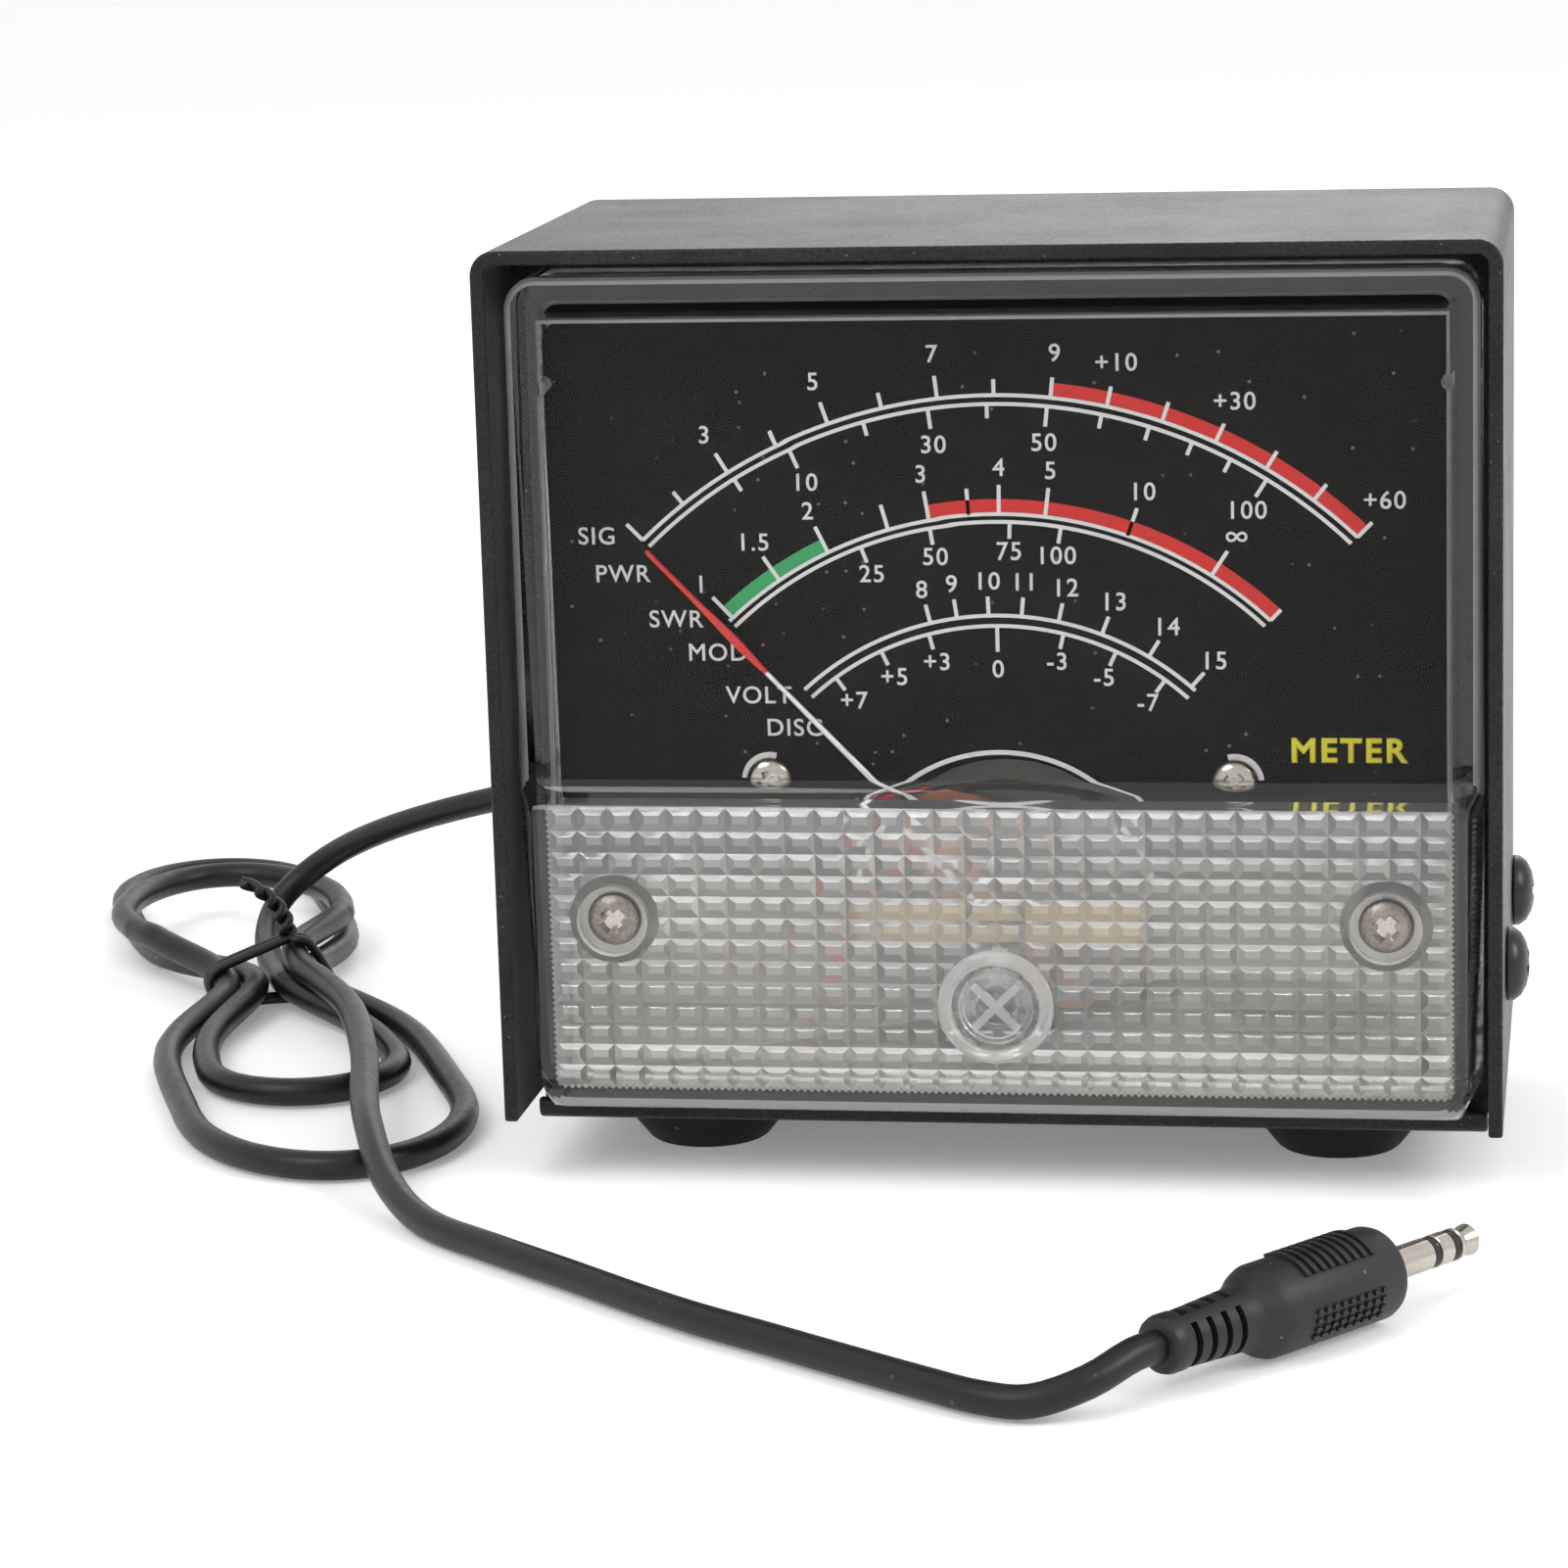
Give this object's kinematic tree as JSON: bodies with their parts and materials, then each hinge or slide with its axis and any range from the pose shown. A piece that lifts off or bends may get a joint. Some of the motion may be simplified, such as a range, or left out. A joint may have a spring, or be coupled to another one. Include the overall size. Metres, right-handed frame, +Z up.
{
  "type": "analogue panel meter",
  "caption": "Desk-top moving-coil radio meter: black folded-metal case, clear front, black dial with printed arc scales, red pointer, zero adjuster and a tied lead with a jack plug.",
  "frame": {"origin": "on the floor, under the middle of the case, without its lead", "axes": "+X to the right seen from the front, -Y out of the front window, +Z up"},
  "size_m": [0.2052, 0.23, 0.1083],
  "materials": {
    "powder_coat": "fine textured black powder coat",
    "black_steel": "blackened, satin",
    "foot_rubber": "matt",
    "cream_plastic": "moulded, matt",
    "clear_plastic": "clear, polished",
    "nickel": "nickel plate",
    "aluminium": "stamped",
    "dial_black": "satin black print on sheet",
    "iron": "plain",
    "magnet": "plain",
    "brass": "turned",
    "copper": "enamelled wire",
    "bronze": "drawn",
    "steel": "ground",
    "pointer_red": "red paint on a thin blade, bare near the hub",
    "wire_red": "smooth sleeve",
    "cord_black": "satin sheath",
    "mould_black": "moulded"
  },
  "bodies": {
    "case": {"top_cover": "powder_coat", "chassis": "powder_coat", "cover_screw_1": "black_steel", "cover_screw_2": "black_steel", "cover_screw_3": "black_steel", "cover_screw_4": "black_steel", "foot_1": "foot_rubber", "foot_2": "foot_rubber", "foot_3": "foot_rubber", "foot_4": "foot_rubber", "meter_base": "cream_plastic", "window_cover": "clear_plastic", "window_screw_left": "nickel", "window_screw_right": "nickel", "dial_plate": "dial_black", "dial_screw_left": "nickel", "dial_screw_right": "nickel", "yoke_ring": "iron", "core_magnet": "magnet", "front_bridge": "brass", "rear_bridge": "brass", "jewel_screw_front": "brass", "jewel_screw_rear": "brass", "hairspring_rear": "bronze", "terminal_stud_left": "brass", "terminal_stud_right": "brass", "terminal_nut_left": "brass", "terminal_nut_right": "brass", "inner_wire_red": "wire_red", "inner_wire_black": "cord_black", "cable_grommet": "foot_rubber", "lead_rear": "cord_black", "lead_hank": "cord_black", "lead_front": "cord_black", "twist_tie": "cord_black", "plug_body": "mould_black", "plug_sleeve": "nickel", "plug_ring": "nickel", "plug_tip": "nickel", "plug_insulator_rear": "mould_black", "plug_insulator_front": "mould_black"},
    "movement": {"moving_coil": "copper", "staff_front": "steel", "staff_rear": "steel", "pointer": "pointer_red"},
    "adjuster": {"zero_adjuster": "clear_plastic"},
    "zero_fork": {"zero_arm": "aluminium", "hairspring_front": "bronze"}
  },
  "joints": [
    {"name": "pointer_swing", "type": "hinge", "parent": "case", "child": "movement", "pos_m": [0, 0, 0.0309], "axis": [0, 1, 0], "range_deg": [0, 87], "stiffness_Nm_per_rad": 0.0003},
    {"name": "zero_adjust", "type": "hinge", "parent": "case", "child": "adjuster", "pos_m": [0, 0, 0.0217], "axis": [0, 1, 0], "range_deg": [-40, 40]},
    {"name": "zero_fork_swing", "type": "hinge", "parent": "case", "child": "zero_fork", "pos_m": [0, 0, 0.0309], "axis": [0, 1, 0], "range_deg": [-4.6, 4.6]}
  ],
  "couplings": [
    {"joint": "zero_adjust", "follows": "zero_fork_swing", "ratio": 8.6667}
  ]
}
